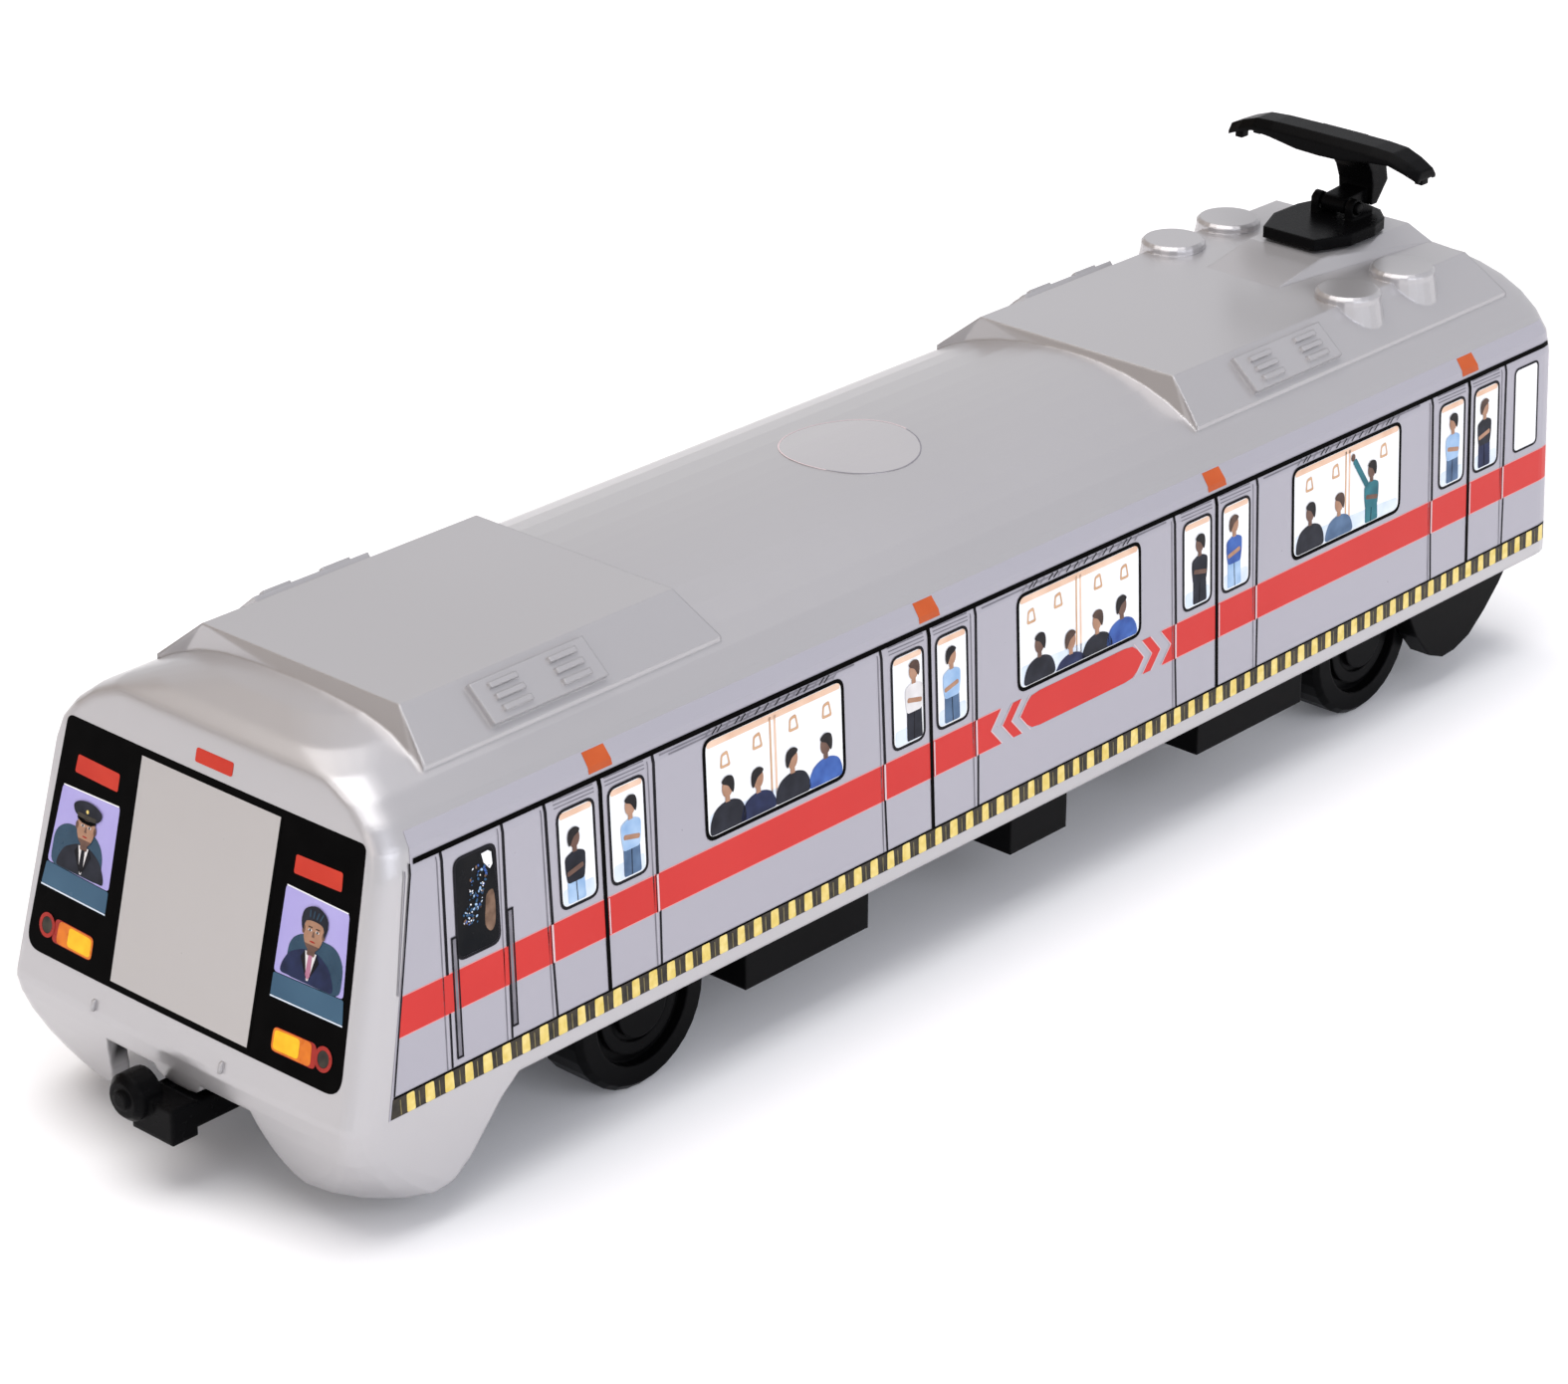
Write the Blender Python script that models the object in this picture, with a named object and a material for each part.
"""Toy metro car: silver moulded body shell, black chassis with couplers, two wheelsets, roof current collector.

Metres, +Z up, +X to the driver's end, +Y to the left side.
The origin is on the ground, midway along the body and on its centre plane.
"""
import bpy
import bmesh
from math import cos, sin, pi, radians, sqrt
from mathutils import Vector

for old in list(bpy.data.objects):
    bpy.data.objects.remove(old, do_unlink=True)

# General clearances and overruns
GAP = 0.0003
OVERRUN = 0.003
BITE = 0.0006

# Body shell: one moulding, open below
NOSE_X = 0.0796
TAIL_X = -0.0796
SHELL_HALF = 0.02024
SKIRT_FLARE = 0.0001
SIDE_LEAN = 0.00094
SHELL_WALL = 0.0018
SKIRT_BELOW_AXLE = 0.00446
LEDGE_ABOVE_AXLE = 0.00264
CREASE_RISE = 0.0012
SIDE_HEIGHT = 0.0192
ARCH_RISE = 0.0084
BROW_RISE = 0.0057
FACE_LEAN_DEG = 14.2
APRON_TUCK = 0.0028
CREASE_ROUND = 0.0003
NOSE_BOW = 0.0002
ROOF_RUN = 0.0190
TAIL_BROW_DROP = 0.0035
TAIL_RUN = 0.0035
CORNER_LENGTH = 0.0028
CORNER_SIDE = 0.0015
CORNER_INNER = 0.0004
SKIRT_CORNER_LENGTH = 0.0080
SKIRT_CORNER_SIDE = 0.0090
DOME_LENGTH = 0.0080
DOME_SIDE = 0.0080
DOME_LIMIT_SHARE = 0.92
# Height of the apron's levels, as shares from the skirt's foot to the crease
APRON_LEVEL_SHARES = (0.0, 0.10, 0.22, 0.38, 0.60, 0.80)
# How far round the arch each roof level lies
ARCH_SHARES = (0.0, 0.14, 0.27, 0.39, 0.50, 0.60, 0.70, 0.80, 0.90, 0.97)
SIDE_LEVEL_SHARES = (0.5,)
FRONT_SHARES = (0.75, 0.5, 0.25, 0.0, -0.25, -0.5, -0.75)
CORNER_STEPS = 5

# Corner skirts and the apron under the nose
SKIRT_LENGTH = 0.0177
SKIRT_FOOT_SETBACK = 0.0088
# Rear edge of a skirt: share of its run, share of its drop
SKIRT_EDGE_SHARES = ((0.0, 0.0), (0.22, 0.21), (0.42, 0.48), (0.61, 0.74), (0.79, 0.90), (1.0, 1.0))
APRON_RISE = 0.0062
APRON_FLAT = 0.0084
APRON_FLARE = 0.0034
APRON_OPEN_DEPTH = 0.0150
# Edge of the opening: share of the flare, share of the drop to the skirt's foot
APRON_EDGE_SHARES = ((0.0, 0.0), (0.08, 0.14), (0.22, 0.38), (0.40, 0.64), (0.66, 0.88), (1.0, 1.0))
TAB_HALF = 0.0027
TAB_DROP = 0.0012
TAB_SHARES = ((1.0, 0.0), (0.92, 0.50), (0.70, 0.86), (0.35, 1.0))

# Roof hoods, placed from the middle of the car: rear x, front x
HOOD_RISE = 0.0006
HOOD_HALF = 0.0112
HOOD_CHAMFER = 0.0040
HOOD_DROP = 0.0034
HOOD_ROOT = 0.0036
HOOD_END_SLOPE = 0.0014
FRONT_HOOD_REAR = 0.0335
FRONT_HOOD_FRONT = 0.0663
REAR_HOOD_REAR = -0.0762
REAR_HOOD_FRONT = -0.0283

# Louvre panels on the hood chamfers
FRONT_LOUVRE_REAR = 0.0462
FRONT_LOUVRE_FRONT = 0.0586
REAR_LOUVRE_REAR = -0.0500
REAR_LOUVRE_FRONT = -0.0372
LOUVRE_RISE = 0.0006
LOUVRE_TOP_SHARE = 0.16
LOUVRE_FOOT_SHARE = 0.88
SLAT_LENGTH = 0.0030
SLAT_WIDTH = 0.0005
SLAT_RISE = 0.0003
SLAT_GROUP_SHARES = (0.24, 0.76)
SLAT_ROW_SHARES = (0.22, 0.50, 0.78)

# Round roof vents that lean out over the chamfers
VENT_RADIUS = 0.0031
VENT_RISE = 0.0008
VENT_HALF = 0.0103
VENT_FLARE = 0.0016
FRONT_VENT_X = -0.0572
REAR_VENT_X = -0.0658
VENT_SEGMENTS = 24
VENT_BEVEL = 0.0003

# Plinth under the current collector
PLINTH_FOOT_X = -0.0545
PLINTH_FRONT_X = -0.0612
PLINTH_TAIL_X = -0.0752
PLINTH_HALF = 0.0042
PLINTH_FLARE = 0.0028
PLINTH_RISE = 0.0012

# Chassis
PLATE_DROP = 0.0013
PLATE_THICKNESS = 0.0018
PLATE_SETBACK = 0.0060
BOX_INSET = 0.0010
BOX_DEPTH = 0.0070
# Underfloor boxes, from the middle of the car: rear x, front x, depth below the ledge
FRONT_BOX_REAR = 0.0199
FRONT_BOX_FRONT = 0.0350
FRONT_BOX_DROP = 0.0040
MIDDLE_BOX_REAR = -0.0063
MIDDLE_BOX_FRONT = 0.0013
MIDDLE_BOX_DROP = 0.0041
REAR_BOX_WHEEL_GAP = 0.00604
REAR_BOX_FRONT = -0.0249
REAR_BOX_DROP = 0.0037
LOBE_INSET = 0.0012
LOBE_THICKNESS = 0.0022
REAR_LOBE_OVERHANG = 0.0060
REAR_LOBE_LENGTH = 0.0159
REAR_LOBE_DROP = 0.0069
FRONT_LOBE_LENGTH = 0.0100
FRONT_LOBE_DROP = 0.0055
FRONT_LOBE_PEEP = 0.0014
FRONT_LOBE_GAP = 0.0006
# Outline of a rear lobe: share of its length from the tail, share of its drop
REAR_LOBE_SHARES = ((0.0, 0.0), (0.07, 0.22), (0.20, 0.55), (0.35, 0.85), (0.50, 0.98),
                    (0.62, 1.0), (0.76, 0.86), (0.90, 0.45), (1.0, 0.0))
FRONT_LOBE_SHARES = ((0.0, 0.0), (0.16, 0.32), (0.34, 0.66), (0.52, 0.88), (0.72, 1.0), (1.0, 1.0),
                     (1.0, 0.0))

# Wheelsets
WHEEL_RADIUS = 0.00746
WHEEL_INSET = 0.0037
WHEEL_WIDTH = 0.0052
WHEEL_SEGMENTS = 32
WHEEL_BEVEL = 0.0005
AXLE_RADIUS = 0.0010
AXLE_SEGMENTS = 16
AXLE_INSET = 0.0016
FRONT_OVERHANG = 0.0353
REAR_OVERHANG = 0.0256
RIM_INNER = 0.0053
RING_OUTER = 0.0044
RING_INNER = 0.0033
HUB_RADIUS = 0.0028
RIM_RECESS = 0.0010
RING_RECESS = 0.0004
HUB_RECESS = 0.0007
WELL_MARGIN = 0.0009
WELL_SIDE = 0.0009
BEARING_THICKNESS = 0.0016
BEARING_HALF_LENGTH = 0.0032
BEARING_FOOT = 0.0022
BEARING_GAP = 0.0012
BEARING_PLAY = 0.0003

# Pull-back motor case on the rear axle
MOTOR_SIDE_GAP = 0.0012
MOTOR_FRONT = 0.0175
MOTOR_REAR = 0.0055
MOTOR_BELOW = 0.0035
MOTOR_ABOVE = 0.0090
MOTOR_BEVEL = 0.0012

# Couplers
SHANK_HALF = 0.0024
SHANK_THICKNESS = 0.0022
SHANK_LENGTH = 0.0135
COUPLER_SETBACK = 0.0002
COUPLER_HEAD_HALF = 0.0024
COUPLER_HEAD_RISE = 0.0002
COUPLER_HEAD_DROP = 0.0007
COUPLER_HEAD_LENGTH = 0.0026
COUPLER_LOBE_RADIUS = 0.0020
COUPLER_LOBE_RISE = 0.0001
COUPLER_LOBE_SIDE = 0.0020
COUPLER_LOBE_LENGTH = 0.0012
COUPLER_DOT_RADIUS = 0.0008
COUPLER_DOT_RISE = 0.0003
COUPLER_SEGMENTS = 20
COUPLER_BEVEL = 0.0005

# Current collector: base plate with two ears, arm with yoke and head
BASE_SETBACK = 0.0004
BASE_LENGTH = 0.0122
BASE_HALF = 0.0046
BASE_FRONT_HALF = 0.0030
BASE_SHOULDER = 0.0038
BASE_THICKNESS = 0.0011
BASE_ROUND_STEPS = 6
PIVOT_SETBACK = 0.0076
PIVOT_RISE = 0.0011
EAR_RADIUS = 0.0009
EAR_THICKNESS = 0.0008
EAR_HALF = 0.0016
EAR_TAIL = 0.0016
PIN_RADIUS = 0.0005
PIN_PLAY = 0.0002
PIN_SEGMENTS = 12
LINK_HALF = 0.0013
LINK_RADIUS = 0.0008
HEEL_RUN = 0.0054
HEEL_RISE = 0.0003
YOKE_FOOT_HALF = 0.0019
YOKE_TOP_HALF = 0.0026
YOKE_THICKNESS = 0.0024
YOKE_FORWARD = 0.0046
# Yoke sections: share of its height, of its forward lean, of its growth in width, of its thickness
YOKE_SHARES = ((0.0, 0.0, 0.0, 0.35), (0.27, 0.02, 0.15, 1.0), (0.45, 0.12, 0.30, 1.0),
               (0.70, 0.44, 0.65, 1.0),
               (1.0, 1.0, 1.0, 1.0))
HEAD_FORWARD = 0.0015
HEAD_HALF_LENGTH = 0.0111
HEAD_WIDTH = 0.0040
HEAD_DEPTH = 0.0020
HEAD_WALL = 0.0007
HEAD_RISE = 0.0076
HEAD_DROOP = 0.0014
# Head stations: share of the half length, of the droop, of the depth, of the width
HEAD_STATION_SHARES = ((0.0, 0.0, 1.0, 1.0), (0.24, 0.0, 0.96, 1.0), (0.52, 0.02, 0.70, 1.0),
                       (0.72, 0.12, 0.55, 0.96), (0.87, 0.52, 0.52, 0.88), (1.0, 1.0, 0.50, 0.72))
HORN_SHARES = (0.76, 0.95)
HORN_LENGTH = 0.0008
HORN_DROP = 0.0007
HORN_THICKNESS = 0.0005

# Levels and faces that follow from the sizes above
SKIRT_Z = WHEEL_RADIUS - SKIRT_BELOW_AXLE
LEDGE_Z = WHEEL_RADIUS + LEDGE_ABOVE_AXLE
CREASE_Z = LEDGE_Z + CREASE_RISE
SPRING_Z = CREASE_Z + SIDE_HEIGHT
BROW_Z = SPRING_Z + BROW_RISE
CROWN_Z = SPRING_Z + ARCH_RISE
APRON_Z = SKIRT_Z + APRON_RISE
SKIRT_HALF = SHELL_HALF + SKIRT_FLARE
SPRING_HALF = SHELL_HALF - SIDE_LEAN
FACE_SLOPE = sin(radians(FACE_LEAN_DEG)) / cos(radians(FACE_LEAN_DEG))
BROW_X = NOSE_X - FACE_SLOPE * (BROW_Z - CREASE_Z)
SKIRT_TOP_X = NOSE_X - SKIRT_LENGTH
SKIRT_FOOT_X = NOSE_X - SKIRT_FOOT_SETBACK
HOOD_TOP_Z = CROWN_Z + HOOD_RISE
HOOD_EDGE_Z = HOOD_TOP_Z - HOOD_DROP
HOOD_EDGE_HALF = HOOD_HALF + HOOD_CHAMFER
HOOD_ROOT_Z = HOOD_EDGE_Z - HOOD_ROOT
PLINTH_TOP_Z = HOOD_TOP_Z + PLINTH_RISE
VENT_TOP_Z = HOOD_TOP_Z + VENT_RISE
PLATE_Z = LEDGE_Z - PLATE_DROP
PLATE_TOP_Z = PLATE_Z + PLATE_THICKNESS
WHEEL_FACE = SHELL_HALF - WHEEL_INSET
WHEEL_BACK = WHEEL_FACE - WHEEL_WIDTH
BEARING_OUTER = WHEEL_BACK - BEARING_GAP
MOTOR_HALF = BEARING_OUTER - BEARING_THICKNESS - MOTOR_SIDE_GAP
FRONT_AXLE_X = NOSE_X - FRONT_OVERHANG
REAR_AXLE_X = TAIL_X + REAR_OVERHANG
REAR_BOX_REAR = REAR_AXLE_X + WHEEL_RADIUS + REAR_BOX_WHEEL_GAP
HOODS = ((FRONT_HOOD_REAR, FRONT_HOOD_FRONT), (REAR_HOOD_REAR, REAR_HOOD_FRONT))
LOUVRES = ((FRONT_LOUVRE_REAR, FRONT_LOUVRE_FRONT), (REAR_LOUVRE_REAR, REAR_LOUVRE_FRONT))
BOXES = ((FRONT_BOX_REAR, FRONT_BOX_FRONT, FRONT_BOX_DROP),
         (MIDDLE_BOX_REAR, MIDDLE_BOX_FRONT, MIDDLE_BOX_DROP),
         (REAR_BOX_REAR, REAR_BOX_FRONT, REAR_BOX_DROP))
MOULD_ANGLE = radians(35)


def material(name, colour, roughness, metallic):
    mat = bpy.data.materials.new(name)
    mat.use_nodes = True
    shader = mat.node_tree.nodes["Principled BSDF"]
    shader.inputs["Base Color"].default_value = (*colour, 1.0)
    shader.inputs["Roughness"].default_value = roughness
    shader.inputs["Metallic"].default_value = metallic
    return mat


SILVER = material("silver_paint", (0.58, 0.57, 0.58), 0.32, 0.35)
BLACK = material("black_plastic", (0.02, 0.02, 0.022), 0.45, 0.0)
TYRE = material("black_wheel_plastic", (0.018, 0.018, 0.018), 0.55, 0.0)
STEEL = material("axle_steel", (0.55, 0.55, 0.56), 0.3, 1.0)
CASE = material("motor_case_plastic", (0.75, 0.75, 0.72), 0.5, 0.0)


def add_object(name, mesh, mat=None):
    obj = bpy.data.objects.new(name, mesh)
    bpy.context.scene.collection.objects.link(obj)
    if mat is not None:
        mesh.materials.append(mat)
    return obj


def finish_mesh(bm, name):
    bmesh.ops.recalc_face_normals(bm, faces=bm.faces)
    mesh = bpy.data.meshes.new(name)
    bm.to_mesh(mesh)
    bm.free()
    mesh.shade_smooth()
    mesh.set_sharp_from_angle(angle=MOULD_ANGLE)
    return mesh


def add_loft(bm, rings):
    """Skin a row of rings with the same number of points and cap both ends."""
    rows = [[bm.verts.new(point) for point in ring] for ring in rings]
    count = len(rows[0])
    for low, high in zip(rows, rows[1:]):
        for i in range(count):
            j = (i + 1) % count
            bm.faces.new((low[i], low[j], high[j], high[i]))
    bm.faces.new(rows[0])
    bm.faces.new(rows[-1])


def add_prism(bm, outline, axis, low, high):
    """Extrude an outline along an axis; the outline holds the other two coordinates in order."""
    def place(pair, depth):
        if axis == "X":
            return (depth, pair[0], pair[1])
        if axis == "Y":
            return (pair[0], depth, pair[1])
        return (pair[0], pair[1], depth)
    add_loft(bm, [[place(pair, low) for pair in outline], [place(pair, high) for pair in outline]])


def add_box(bm, x_range, y_range, z_range):
    outline = [(x_range[0], y_range[0]), (x_range[1], y_range[0]), (x_range[1], y_range[1]),
               (x_range[0], y_range[1])]
    add_prism(bm, outline, "Z", z_range[0], z_range[1])


def circle(centre, radius, segments):
    return [(centre[0] + radius * cos(2 * pi * k / segments), centre[1] + radius * sin(2 * pi * k / segments))
            for k in range(segments)]


def add_turned(bm, profile, segments, centre):
    """Turn (radius, y) pairs about the Y axis through centre; the first and last radius are zero."""
    x0, z0 = centre
    rings = []
    for radius, y in profile[1:-1]:
        rings.append([bm.verts.new((x0 + radius * cos(2 * pi * k / segments), y,
                                    z0 + radius * sin(2 * pi * k / segments))) for k in range(segments)])
    for low, high in zip(rings, rings[1:]):
        for i in range(segments):
            j = (i + 1) % segments
            bm.faces.new((low[i], low[j], high[j], high[i]))
    for tip, ring in ((profile[0], rings[0]), (profile[-1], rings[-1])):
        apex = bm.verts.new((x0, tip[1], z0))
        for i in range(segments):
            bm.faces.new((apex, ring[i], ring[(i + 1) % segments]))


def tool_object(name, bm):
    obj = add_object(name, finish_mesh(bm, name))
    obj.hide_render = True
    obj.display_type = "WIRE"
    return obj


def combine(target, tool, operation):
    mod = target.modifiers.new(tool.name, "BOOLEAN")
    mod.operation = operation
    mod.solver = "EXACT"
    mod.object = tool


def bevel(obj, width, segments, angle_deg=40.0):
    mod = obj.modifiers.new("rounded_edges", "BEVEL")
    mod.width = width
    mod.segments = segments
    mod.limit_method = "ANGLE"
    mod.angle_limit = radians(angle_deg)


# Plan of the shell at one height, drawn in by an inset on every side
def face_x(z):
    """Front face line: leans back above the crease, tucks in below it, runs into the roof above the brow."""
    if z < CREASE_Z:
        return NOSE_X - APRON_TUCK * ((CREASE_Z - z) / (CREASE_Z - SKIRT_Z)) ** 1.5
    if z <= BROW_Z:
        return NOSE_X - FACE_SLOPE * (z - CREASE_Z)
    share = min(1.0, (z - BROW_Z) / (CROWN_Z - BROW_Z))
    return BROW_X - ROOF_RUN * (1.0 - sqrt(1.0 - share * share))


def tail_x(z):
    start = CROWN_Z - TAIL_BROW_DROP
    if z <= start:
        return TAIL_X
    share = min(1.0, (z - start) / TAIL_BROW_DROP)
    return TAIL_X + TAIL_RUN * (1.0 - sqrt(1.0 - share * share))


def side_half(z):
    if z < CREASE_Z:
        return SHELL_HALF + SKIRT_FLARE * (CREASE_Z - z) / (CREASE_Z - SKIRT_Z)
    return SHELL_HALF - SIDE_LEAN * (z - CREASE_Z) / (SPRING_Z - CREASE_Z)


def nose_corner(z):
    """Half axes of the elliptical front corner: wide in the skirts, small along the face, wide in the brow."""
    down = max(0.0, (CREASE_Z - z) / (CREASE_Z - SKIRT_Z)) ** 2
    rise = min(1.0, max(0.0, (z - BROW_Z) / (CROWN_Z - BROW_Z)))
    length = CORNER_LENGTH + (SKIRT_CORNER_LENGTH - CORNER_LENGTH) * down + (DOME_LENGTH - CORNER_LENGTH) * rise
    side = CORNER_SIDE + (SKIRT_CORNER_SIDE - CORNER_SIDE) * down + (DOME_SIDE - CORNER_SIDE) * rise
    return length, side


def corner_arc(centre, axes, start_deg):
    """Quarter of an ellipse, turning clockwise seen from above."""
    points = []
    for k in range(CORNER_STEPS + 1):
        a = radians(start_deg) - pi / 2 * k / CORNER_STEPS
        points.append((centre[0] + axes[0] * cos(a), centre[1] + axes[1] * sin(a)))
    return points


def plan_ring(z, height, half, inset):
    """Rounded plan outline at a height whose ends are read at z."""
    front = face_x(z) - inset
    rear = tail_x(z) + inset
    limit = DOME_LIMIT_SHARE * half
    length, side = nose_corner(z)
    nose = (max(length - inset, CORNER_INNER), min(max(side - inset, CORNER_INNER), limit))
    tail = (max(CORNER_LENGTH - inset, CORNER_INNER), min(max(CORNER_SIDE - inset, CORNER_INNER), limit))
    ring = corner_arc((front - nose[0], half - nose[1]), nose, 90)
    ring += [(front, (half - nose[1]) * share) for share in FRONT_SHARES]
    ring += corner_arc((front - nose[0], nose[1] - half), nose, 0)
    ring = [(x - NOSE_BOW * (y / SHELL_HALF) ** 2, y) for x, y in ring]
    ring += corner_arc((rear + tail[0], tail[1] - half), tail, -90)
    ring += corner_arc((rear + tail[0], half - tail[1]), tail, 180)
    return [(x, y, height) for x, y in ring]


def shell_rings(inset, foot_z):
    """Plan rings of the shell from its foot to the crown, drawn in by the inset."""
    rings = []
    for share in APRON_LEVEL_SHARES:
        z = SKIRT_Z + (CREASE_Z - SKIRT_Z) * share
        rings.append(plan_ring(z, foot_z if share == 0 else z, side_half(z) - inset, inset))
    for z in (CREASE_Z - CREASE_ROUND, CREASE_Z + CREASE_ROUND):
        rings.append(plan_ring(z, z, side_half(z) - inset, inset))
    for share in SIDE_LEVEL_SHARES:
        z = CREASE_Z + (SPRING_Z - CREASE_Z) * share
        rings.append(plan_ring(z, z, side_half(z) - inset, inset))
    for share in ARCH_SHARES:
        z = SPRING_Z + ARCH_RISE * sin(pi / 2 * share)
        height = SPRING_Z + (ARCH_RISE - inset) * sin(pi / 2 * share)
        rings.append(plan_ring(z, height, (SPRING_HALF - inset) * cos(pi / 2 * share), inset))
    return rings


def build_shell():
    bm = bmesh.new()
    add_loft(bm, shell_rings(0.0, SKIRT_Z))
    shell = add_object("body_shell", finish_mesh(bm, "body_shell"), SILVER)

    # Hoods: a flat-topped ridge with chamfered sides and sloped ends
    bm = bmesh.new()
    for rear, front in HOODS:
        section = ((HOOD_EDGE_HALF, HOOD_ROOT_Z), (HOOD_EDGE_HALF, HOOD_EDGE_Z), (HOOD_HALF, HOOD_TOP_Z),
                   (-HOOD_HALF, HOOD_TOP_Z), (-HOOD_EDGE_HALF, HOOD_EDGE_Z), (-HOOD_EDGE_HALF, HOOD_ROOT_Z))
        rings = []
        for end, way in ((rear, 1.0), (front, -1.0)):
            ring = []
            for y, z in section:
                drop = (HOOD_TOP_Z - z) / (HOOD_TOP_Z - HOOD_EDGE_Z)
                ring.append((end - way * HOOD_END_SLOPE * (min(drop, 1.0) - 1.0), y, z))
            rings.append(ring)
        add_loft(bm, rings)
    combine(shell, tool_object("hood_tool", bm), "UNION")

    # Louvre panels, roof vents and the collector plinth
    bm = bmesh.new()
    slope = Vector((HOOD_EDGE_HALF - HOOD_HALF, HOOD_EDGE_Z - HOOD_TOP_Z))
    normal = Vector((-slope.y, slope.x)).normalized()
    slats = {group: [] for group in SLAT_GROUP_SHARES}
    for rear, front in LOUVRES:
        for side in (1.0, -1.0):
            top = Vector((HOOD_HALF, HOOD_TOP_Z)) + slope * LOUVRE_TOP_SHARE
            foot = Vector((HOOD_HALF, HOOD_TOP_Z)) + slope * LOUVRE_FOOT_SHARE
            corners = (top - normal * BITE, top + normal * LOUVRE_RISE, foot + normal * LOUVRE_RISE,
                       foot - normal * BITE)
            add_prism(bm, [(side * p.x, p.y) for p in corners], "X", rear, front)
            for group in SLAT_GROUP_SHARES:
                middle = rear + (front - rear) * group
                for row in SLAT_ROW_SHARES:
                    mid = top + (foot - top) * row
                    along = slope.normalized() * (SLAT_WIDTH / 2)
                    low = normal * (LOUVRE_RISE - BITE / 2)
                    high = normal * (LOUVRE_RISE + SLAT_RISE)
                    corners = (mid - along + low, mid - along + high, mid + along + high, mid + along + low)
                    slat = ([(side * p.x, p.y) for p in corners], middle - SLAT_LENGTH / 2,
                            middle + SLAT_LENGTH / 2)
                    slats[group].append(slat)
    combine(shell, tool_object("louvre_tool", bm), "UNION")
    for x in (FRONT_VENT_X, REAR_VENT_X):
        bm = bmesh.new()
        for side in (1.0, -1.0):
            rings = []
            for z, shrink, lean in ((HOOD_ROOT_Z, 0.0, VENT_FLARE), (HOOD_TOP_Z, 0.0, 0.0),
                                    (VENT_TOP_Z - VENT_BEVEL, 0.0, 0.0), (VENT_TOP_Z, VENT_BEVEL, 0.0)):
                outline = circle((x, side * (VENT_HALF + lean)), VENT_RADIUS - shrink, VENT_SEGMENTS)
                rings.append([(px, py, z) for px, py in outline])
            add_loft(bm, rings)
        combine(shell, tool_object("vent_tool", bm), "UNION")
    bm = bmesh.new()
    rings = []
    for z, foot in ((HOOD_ROOT_Z, 1.0), (HOOD_TOP_Z, 1.0), (PLINTH_TOP_Z, 0.0)):
        half = PLINTH_HALF + PLINTH_FLARE * foot
        rings.append([(PLINTH_TAIL_X, -half, z),
                      (PLINTH_FRONT_X + (PLINTH_FOOT_X - PLINTH_FRONT_X) * foot, -PLINTH_HALF, z),
                      (PLINTH_FRONT_X + (PLINTH_FOOT_X - PLINTH_FRONT_X) * foot, PLINTH_HALF, z),
                      (PLINTH_TAIL_X, half, z)])
    add_loft(bm, rings)
    combine(shell, tool_object("plinth_tool", bm), "UNION")
    for group in slats.values():
        bm = bmesh.new()
        for outline, low, high in group:
            add_prism(bm, outline, "X", low, high)
        combine(shell, tool_object("slat_tool", bm), "UNION")

    # The hollow inside, open below
    bm = bmesh.new()
    add_loft(bm, shell_rings(SHELL_WALL, SKIRT_Z - OVERRUN))
    combine(shell, tool_object("hollow_tool", bm), "DIFFERENCE")

    # Side walls end at the ledge behind the corner skirts
    bm = bmesh.new()
    run = SKIRT_FOOT_X - SKIRT_TOP_X
    outline = [(TAIL_X - OVERRUN, SKIRT_Z - OVERRUN), (TAIL_X - OVERRUN, LEDGE_Z)]
    for along, drop in SKIRT_EDGE_SHARES:
        outline.append((SKIRT_TOP_X + run * along, LEDGE_Z - (LEDGE_Z - SKIRT_Z) * drop))
    outline.append((SKIRT_FOOT_X, SKIRT_Z - OVERRUN))
    add_prism(bm, outline, "Y", -SKIRT_HALF - OVERRUN, SKIRT_HALF + OVERRUN)
    combine(shell, tool_object("ledge_tool", bm), "DIFFERENCE")

    # Opening between the skirts under the nose, with the small tab in its middle
    bm = bmesh.new()
    right = [(APRON_FLAT + APRON_FLARE, SKIRT_Z - OVERRUN)]
    for out, drop in reversed(APRON_EDGE_SHARES):
        right.append((APRON_FLAT + APRON_FLARE * out, APRON_Z - APRON_RISE * drop))
    for out, drop in TAB_SHARES:
        right.append((TAB_HALF * out, APRON_Z - TAB_DROP * drop))
    left = [(-y, z) for y, z in reversed(right)]
    add_prism(bm, right + left, "X", NOSE_X - APRON_OPEN_DEPTH, NOSE_X + OVERRUN)
    combine(shell, tool_object("apron_tool", bm), "DIFFERENCE")
    return shell


def lobe_outline(start, length, drop_to, shares):
    """Points of a rounded lobe that hangs from the plate."""
    top = PLATE_Z + BITE
    return [(start + length * along, top - (top - (PLATE_Z - drop_to)) * drop) for along, drop in shares]


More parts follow.
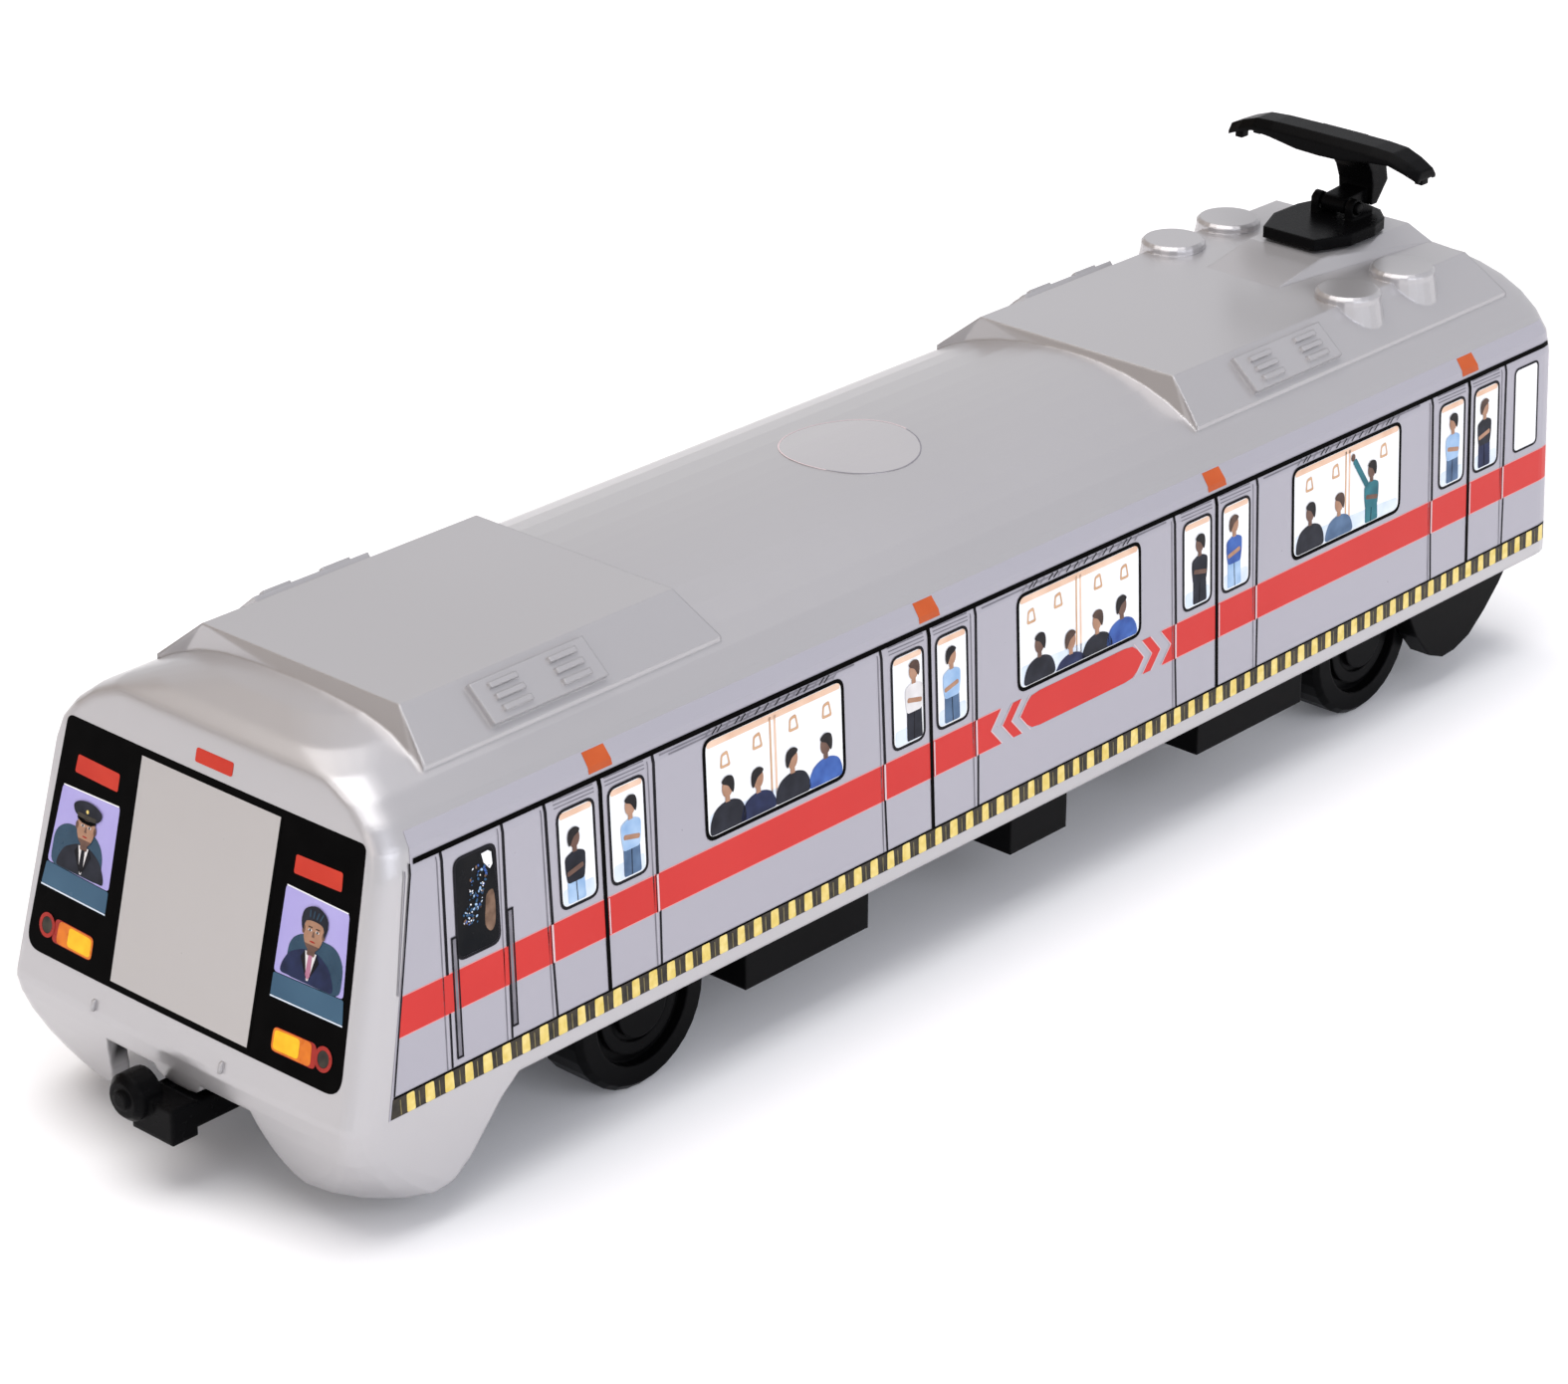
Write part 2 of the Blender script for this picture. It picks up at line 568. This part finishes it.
def build_chassis():
    bm = bmesh.new()
    inset = SHELL_WALL + GAP
    rings = []
    for z in (PLATE_Z, PLATE_TOP_Z):
        ring = plan_ring(SKIRT_Z, z, side_half(CREASE_Z) - inset, inset)
        rings.append([(min(x, NOSE_X - PLATE_SETBACK), y, z) for x, y, z in ring])
    add_loft(bm, rings)
    bmesh.ops.remove_doubles(bm, verts=bm.verts, dist=GAP / 10)
    chassis = add_object("chassis", finish_mesh(bm, "chassis"), BLACK)

    # Wheel wells and the motor opening go through the plate
    bm = bmesh.new()
    reach = WHEEL_RADIUS + WELL_MARGIN
    for axle_x in (FRONT_AXLE_X, REAR_AXLE_X):
        for side in (1.0, -1.0):
            ys = sorted((side * (WHEEL_FACE + WELL_SIDE), side * (WHEEL_BACK - WELL_SIDE)))
            add_box(bm, (axle_x - reach, axle_x + reach), ys, (PLATE_Z - OVERRUN, PLATE_TOP_Z + OVERRUN))
    add_box(bm, (REAR_AXLE_X - MOTOR_REAR - GAP, REAR_AXLE_X + MOTOR_FRONT + GAP),
            (-MOTOR_HALF - GAP, MOTOR_HALF + GAP),
            (PLATE_Z - OVERRUN, PLATE_TOP_Z + OVERRUN))
    combine(chassis, tool_object("well_tool", bm), "DIFFERENCE")

    # Underfloor boxes, corner lobes and axle bearings hang from the plate
    bm = bmesh.new()
    lobe_half = SHELL_HALF - LOBE_INSET
    tucked_half = SHELL_HALF - SHELL_WALL - FRONT_LOBE_GAP
    peep_x = SKIRT_TOP_X - FRONT_LOBE_PEEP
    for side in (1.0, -1.0):
        for rear, front, drop in BOXES:
            ys = sorted((side * (SHELL_HALF - BOX_INSET - BOX_DEPTH), side * (SHELL_HALF - BOX_INSET)))
            add_box(bm, (rear, front), ys, (LEDGE_Z - drop, LEDGE_Z - GAP))
        ys = sorted((side * (lobe_half - LOBE_THICKNESS), side * lobe_half))
        outline = lobe_outline(TAIL_X + REAR_LOBE_OVERHANG, REAR_LOBE_LENGTH, REAR_LOBE_DROP - PLATE_DROP,
                               REAR_LOBE_SHARES)
        add_prism(bm, outline, "Y", ys[0], ys[1])
        ys = sorted((side * (tucked_half - LOBE_THICKNESS), side * tucked_half))
        outline = lobe_outline(peep_x, FRONT_LOBE_LENGTH, FRONT_LOBE_DROP - PLATE_DROP, FRONT_LOBE_SHARES)
        add_prism(bm, outline, "Y", ys[0], ys[1])
        for axle_x in (FRONT_AXLE_X, REAR_AXLE_X):
            ys = sorted((side * (BEARING_OUTER - BEARING_THICKNESS), side * BEARING_OUTER))
            outline = [(axle_x - BEARING_HALF_LENGTH, PLATE_Z + BITE),
                       (axle_x + BEARING_HALF_LENGTH, PLATE_Z + BITE),
                       (axle_x + BEARING_HALF_LENGTH / 2, WHEEL_RADIUS - BEARING_FOOT),
                       (axle_x - BEARING_HALF_LENGTH / 2, WHEEL_RADIUS - BEARING_FOOT)]
            add_prism(bm, outline, "Y", ys[0], ys[1])
    combine(chassis, tool_object("underfloor_tool", bm), "UNION")

    bm = bmesh.new()
    for axle_x in (FRONT_AXLE_X, REAR_AXLE_X):
        for side in (1.0, -1.0):
            inner = BEARING_OUTER - BEARING_THICKNESS - BEARING_GAP / 2
            ys = sorted((side * inner, side * (BEARING_OUTER + BEARING_GAP / 2)))
            add_prism(bm, circle((axle_x, WHEEL_RADIUS), AXLE_RADIUS + BEARING_PLAY, AXLE_SEGMENTS), "Y",
                      ys[0], ys[1])
    combine(chassis, tool_object("bearing_bore_tool", bm), "DIFFERENCE")
    return chassis


def build_motor():
    bm = bmesh.new()
    add_box(bm, (REAR_AXLE_X - MOTOR_REAR, REAR_AXLE_X + MOTOR_FRONT), (-MOTOR_HALF, MOTOR_HALF),
            (WHEEL_RADIUS - MOTOR_BELOW, WHEEL_RADIUS + MOTOR_ABOVE))
    motor = add_object("motor_block", finish_mesh(bm, "motor_block"), CASE)
    bevel(motor, MOTOR_BEVEL, 2)
    bm = bmesh.new()
    add_prism(bm, circle((REAR_AXLE_X, WHEEL_RADIUS), AXLE_RADIUS + BEARING_PLAY, AXLE_SEGMENTS), "Y",
              -MOTOR_HALF - OVERRUN, MOTOR_HALF + OVERRUN)
    combine(motor, tool_object("motor_bore_tool", bm), "DIFFERENCE")
    return motor


def build_wheelset(label, axle_x):
    carrier = bpy.data.objects.new(label + "_wheelset_axis", None)
    carrier.location = (axle_x, 0.0, WHEEL_RADIUS)
    bpy.context.scene.collection.objects.link(carrier)
    back = WHEEL_BACK
    axle_end = WHEEL_FACE - AXLE_INSET
    bm = bmesh.new()
    add_prism(bm, circle((0.0, 0.0), AXLE_RADIUS, AXLE_SEGMENTS), "Y", -axle_end, axle_end)
    axle = add_object(label + "_axle", finish_mesh(bm, label + "_axle"), STEEL)
    axle.parent = carrier
    bore = AXLE_RADIUS + GAP
    profile = [(0.0, WHEEL_FACE), (HUB_RADIUS, WHEEL_FACE), (HUB_RADIUS, WHEEL_FACE - HUB_RECESS),
               (RING_INNER, WHEEL_FACE - HUB_RECESS), (RING_INNER, WHEEL_FACE - RING_RECESS),
               (RING_OUTER, WHEEL_FACE - RING_RECESS), (RING_OUTER, WHEEL_FACE - RIM_RECESS),
               (RIM_INNER, WHEEL_FACE - RIM_RECESS), (RIM_INNER, WHEEL_FACE),
               (WHEEL_RADIUS - WHEEL_BEVEL, WHEEL_FACE), (WHEEL_RADIUS, WHEEL_FACE - WHEEL_BEVEL),
               (WHEEL_RADIUS, back + WHEEL_BEVEL), (WHEEL_RADIUS - WHEEL_BEVEL, back),
               (bore, back), (bore, axle_end + GAP), (0.0, axle_end + GAP)]
    for side, turn in (("left", 1.0), ("right", -1.0)):
        bm = bmesh.new()
        add_turned(bm, [(radius, turn * y) for radius, y in profile], WHEEL_SEGMENTS, (0.0, 0.0))
        name = label + "_wheel_" + side
        wheel = add_object(name, finish_mesh(bm, name), TYRE)
        wheel.parent = carrier


def build_coupler(name, end_x, way):
    """Dummy automatic coupler: a shank under the chassis plate, a shield and a round lobe at one side."""
    face = abs(end_x) - COUPLER_SETBACK
    front = face + COUPLER_HEAD_LENGTH
    shank_top = APRON_Z - TAB_DROP - GAP
    lobe_z = shank_top + COUPLER_LOBE_RISE
    bm = bmesh.new()
    add_box(bm, (face - SHANK_LENGTH, face + BITE), (-SHANK_HALF, SHANK_HALF),
            (shank_top - SHANK_THICKNESS, shank_top))
    obj = add_object(name, finish_mesh(bm, name), BLACK)
    bm = bmesh.new()
    add_box(bm, (face - SHANK_LENGTH, face - SHANK_LENGTH + 2 * SHANK_HALF),
            (-SHANK_HALF / 2, SHANK_HALF / 2),
            (shank_top - BITE, PLATE_Z - GAP))
    add_box(bm, (face, front), (-COUPLER_HEAD_HALF, COUPLER_HEAD_HALF),
            (shank_top - SHANK_THICKNESS - COUPLER_HEAD_DROP, shank_top + COUPLER_HEAD_RISE))
    combine(obj, tool_object(name + "_shield_tool", bm), "UNION")
    bevel(obj, COUPLER_BEVEL, 2)
    bm = bmesh.new()
    rings = []
    for x, shrink in ((face + COUPLER_HEAD_LENGTH / 2, 0.0),
                      (front + COUPLER_LOBE_LENGTH - COUPLER_BEVEL, 0.0),
                      (front + COUPLER_LOBE_LENGTH, COUPLER_BEVEL)):
        outline = circle((-COUPLER_LOBE_SIDE, lobe_z), COUPLER_LOBE_RADIUS - shrink, COUPLER_SEGMENTS)
        rings.append([(x, y, z) for y, z in outline])
    add_loft(bm, rings)
    combine(obj, tool_object(name + "_lobe_tool", bm), "UNION")
    bm = bmesh.new()
    add_prism(bm, circle((-COUPLER_LOBE_SIDE, lobe_z), COUPLER_DOT_RADIUS, COUPLER_SEGMENTS), "X",
              front + COUPLER_LOBE_LENGTH / 2, front + COUPLER_LOBE_LENGTH + COUPLER_DOT_RISE)
    combine(obj, tool_object(name + "_centre_tool", bm), "UNION")
    if way < 0:
        for piece in [obj] + [mod.object for mod in obj.modifiers if mod.type == "BOOLEAN"]:
            piece.rotation_euler = (0.0, 0.0, pi)


def build_collector_base():
    floor = PLINTH_TOP_Z + GAP
    top = floor + BASE_THICKNESS
    front = PLINTH_FRONT_X - BASE_SETBACK
    middle = front - BASE_LENGTH + BASE_HALF
    bm = bmesh.new()
    outline = [(front, -BASE_FRONT_HALF), (front, BASE_FRONT_HALF), (front - BASE_SHOULDER, BASE_HALF)]
    for k in range(BASE_ROUND_STEPS + 1):
        a = pi / 2 + pi * k / BASE_ROUND_STEPS
        outline.append((middle + BASE_HALF * cos(a), BASE_HALF * sin(a)))
    outline.append((front - BASE_SHOULDER, -BASE_HALF))
    add_prism(bm, outline, "Z", floor, top)
    base = add_object("collector_base", finish_mesh(bm, "collector_base"), BLACK)

    pivot_x = front - PIVOT_SETBACK
    pivot_z = top + PIVOT_RISE
    bm = bmesh.new()
    for side in (1.0, -1.0):
        ys = sorted((side * EAR_HALF, side * (EAR_HALF + EAR_THICKNESS)))
        outline = [(pivot_x - EAR_RADIUS - EAR_TAIL, top - BITE),
                   (pivot_x - EAR_RADIUS - EAR_TAIL, top + BITE)]
        for k in range(7):
            a = pi / 2 - pi / 2 * k / 6
            outline.append((pivot_x + EAR_RADIUS * cos(a), pivot_z + EAR_RADIUS * sin(a)))
        outline.append((pivot_x + EAR_RADIUS, top - BITE))
        add_prism(bm, outline, "Y", ys[0], ys[1])
    combine(base, tool_object("ear_tool", bm), "UNION")
    bm = bmesh.new()
    add_prism(bm, circle((pivot_x, pivot_z), PIN_RADIUS + PIN_PLAY, PIN_SEGMENTS), "Y",
              -EAR_HALF - EAR_THICKNESS - OVERRUN, EAR_HALF + EAR_THICKNESS + OVERRUN)
    combine(base, tool_object("ear_bore_tool", bm), "DIFFERENCE")
    return pivot_x, pivot_z


def head_droop(share):
    """Droop of the head at a share of its half length, read between the stations."""
    for low, high in zip(HEAD_STATION_SHARES, HEAD_STATION_SHARES[1:]):
        if share <= high[0]:
            return low[1] + (high[1] - low[1]) * (share - low[0]) / (high[0] - low[0])
    return HEAD_STATION_SHARES[-1][1]


def build_collector_arm(pivot_x, pivot_z):
    """Cranked arm on its pin, with an upright yoke and a hollow, drooped head bar; modelled about the pin."""
    axis = bpy.data.objects.new("collector_arm_axis", None)
    axis.location = (pivot_x, 0.0, pivot_z)
    bpy.context.scene.collection.objects.link(axis)

    # Head: an inverted channel lofted across the car
    bm = bmesh.new()
    rings = []
    stations = [(-row[0],) + row[1:] for row in reversed(HEAD_STATION_SHARES[1:])] + list(HEAD_STATION_SHARES)
    for share, droop, deep, broad in stations:
        y = HEAD_HALF_LENGTH * share
        top = HEAD_RISE - HEAD_DROOP * droop
        foot = top - HEAD_DEPTH * deep
        edge = top - HEAD_WALL
        wide = HEAD_WIDTH / 2 * broad
        inner = wide - HEAD_WALL * broad
        half_section = ((wide, foot), (wide, edge), (inner, top), (-inner, top), (-wide, edge), (-wide, foot),
                        (-inner, foot), (-inner, edge - HEAD_WALL / 4), (inner, edge - HEAD_WALL / 4),
                        (inner, foot))
        rings.append([(x + HEAD_FORWARD, y, z) for x, z in half_section])
    add_loft(bm, rings)
    arm = add_object("collector_arm", finish_mesh(bm, "collector_arm"), BLACK)
    arm.parent = axis

    def attach(name, bm):
        piece = tool_object(name, bm)
        piece.parent = axis
        combine(arm, piece, "UNION")

    # Yoke: upright block from the heel to the head's roof
    bm = bmesh.new()
    rings = []
    deep = YOKE_THICKNESS / 2
    heel_x = deep - HEEL_RUN
    foot = HEEL_RISE - LINK_RADIUS
    height = HEAD_RISE - HEAD_WALL / 2 - foot
    for up, lean, growth, thick in YOKE_SHARES:
        front = heel_x + deep + YOKE_FORWARD * lean
        rear = front - YOKE_THICKNESS * thick
        z = foot + height * up
        half = YOKE_FOOT_HALF + (YOKE_TOP_HALF - YOKE_FOOT_HALF) * growth
        rings.append([(rear, -half, z), (front, -half, z), (front, half, z), (rear, half, z)])
    add_loft(bm, rings)
    attach("yoke_tool", bm)

    # Link from the pin back to the heel
    bm = bmesh.new()
    outline = []
    for k in range(9):
        a = -pi / 2 + pi * k / 8
        outline.append((LINK_RADIUS * cos(a), LINK_RADIUS * sin(a)))
    outline += [(heel_x + deep / 2, HEEL_RISE + LINK_RADIUS),
                (heel_x + deep / 2, HEEL_RISE - LINK_RADIUS + GAP)]
    add_prism(bm, outline, "Y", -LINK_HALF, LINK_HALF)
    attach("link_tool", bm)

    bm = bmesh.new()
    reach = EAR_HALF + EAR_THICKNESS + GAP
    add_prism(bm, circle((0.0, 0.0), PIN_RADIUS, PIN_SEGMENTS), "Y", -reach, reach)
    attach("pin_tool", bm)

    # Horn tips under the ends of the head
    bm = bmesh.new()
    for share in HORN_SHARES:
        for side in (1.0, -1.0):
            y = side * HEAD_HALF_LENGTH * share
            top = HEAD_RISE - HEAD_DROOP * head_droop(share)
            add_box(bm, (HEAD_FORWARD - HORN_THICKNESS, HEAD_FORWARD + HORN_THICKNESS),
                    (y - HORN_LENGTH / 2, y + HORN_LENGTH / 2),
                    (top - HEAD_DEPTH / 2 - HORN_DROP, top - HEAD_WALL / 2))
    attach("horn_tool", bm)


build_shell()
build_chassis()
build_motor()
build_wheelset("front", FRONT_AXLE_X)
build_wheelset("rear", REAR_AXLE_X)
build_coupler("front_coupler", NOSE_X, 1.0)
build_coupler("rear_coupler", TAIL_X, -1.0)
build_collector_arm(*build_collector_base())
bpy.context.view_layer.update()
